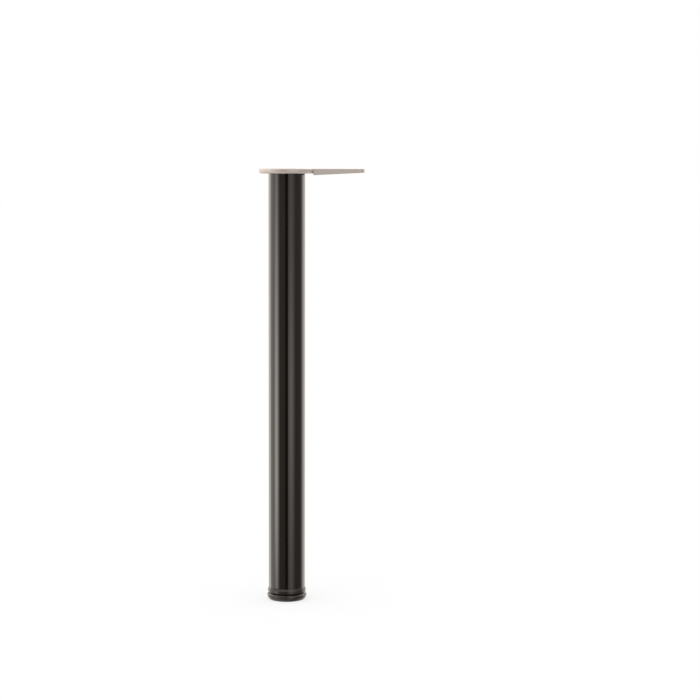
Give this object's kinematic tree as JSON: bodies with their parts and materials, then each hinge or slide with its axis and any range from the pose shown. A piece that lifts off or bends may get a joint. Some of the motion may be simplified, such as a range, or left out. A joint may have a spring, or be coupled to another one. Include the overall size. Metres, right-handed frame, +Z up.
{
  "type": "height adjustable table leg",
  "caption": "Round steel tube table leg with a die-cast screw-on plate and long arm, a hex-key clamp inside the tube, and a screw-out levelling foot.",
  "frame": {"origin": "middle of the flat underside of the foot, on the floor, on the axis of the leg", "axes": "+Z up along the leg to the tabletop, +X along the arm of the mounting plate, +Y across it"},
  "size_m": [0.1734, 0.0912, 0.715],
  "materials": {
    "die_cast": "satin nickel on a zinc die casting",
    "raw_casting": "raw zinc die casting",
    "zinc_plated_steel": "bright zinc plate",
    "black_lacquer": "gloss black lacquer",
    "black_plastic": "semi-gloss moulded black",
    "pad_plastic": "matt moulded dark grey"
  },
  "bodies": {
    "leg": {"mounting_plate": "die_cast", "leg_tube": "black_lacquer", "foot_bush": "black_plastic", "spindle_nut": "zinc_plated_steel", "clamp_washer": "zinc_plated_steel"},
    "clamp_jaw": {"clamp_jaw": "raw_casting"},
    "clamp_screw": {"clamp_screw": "zinc_plated_steel"},
    "glide": {"glide_pad": "pad_plastic"},
    "foot": {"foot_body": "black_plastic", "foot_spindle": "zinc_plated_steel", "stop_nut": "zinc_plated_steel"}
  },
  "joints": [
    {"name": "jaw_slide", "type": "slide", "parent": "leg", "child": "clamp_jaw", "axis": [1, 0, 0], "range_m": [-0.0025, 0]},
    {"name": "screw_turn", "type": "hinge", "parent": "leg", "child": "clamp_screw", "pos_m": [0.0515, 0, 0.7103], "axis": [1, 0, 0], "range_deg": [0, 1125]},
    {"name": "foot_travel", "type": "slide", "parent": "leg", "child": "glide", "axis": [0, 0, -1], "range_m": [0, 0.02]},
    {"name": "foot_turn", "type": "hinge", "parent": "glide", "child": "foot", "pos_m": [0, 0, 0], "axis": [0, 0, -1], "range_deg": [0, 4800]}
  ],
  "couplings": [
    {"joint": "screw_turn", "follows": "jaw_slide", "rad_per_m": -7854},
    {"joint": "foot_turn", "follows": "foot_travel", "rad_per_m": 4188.8}
  ]
}
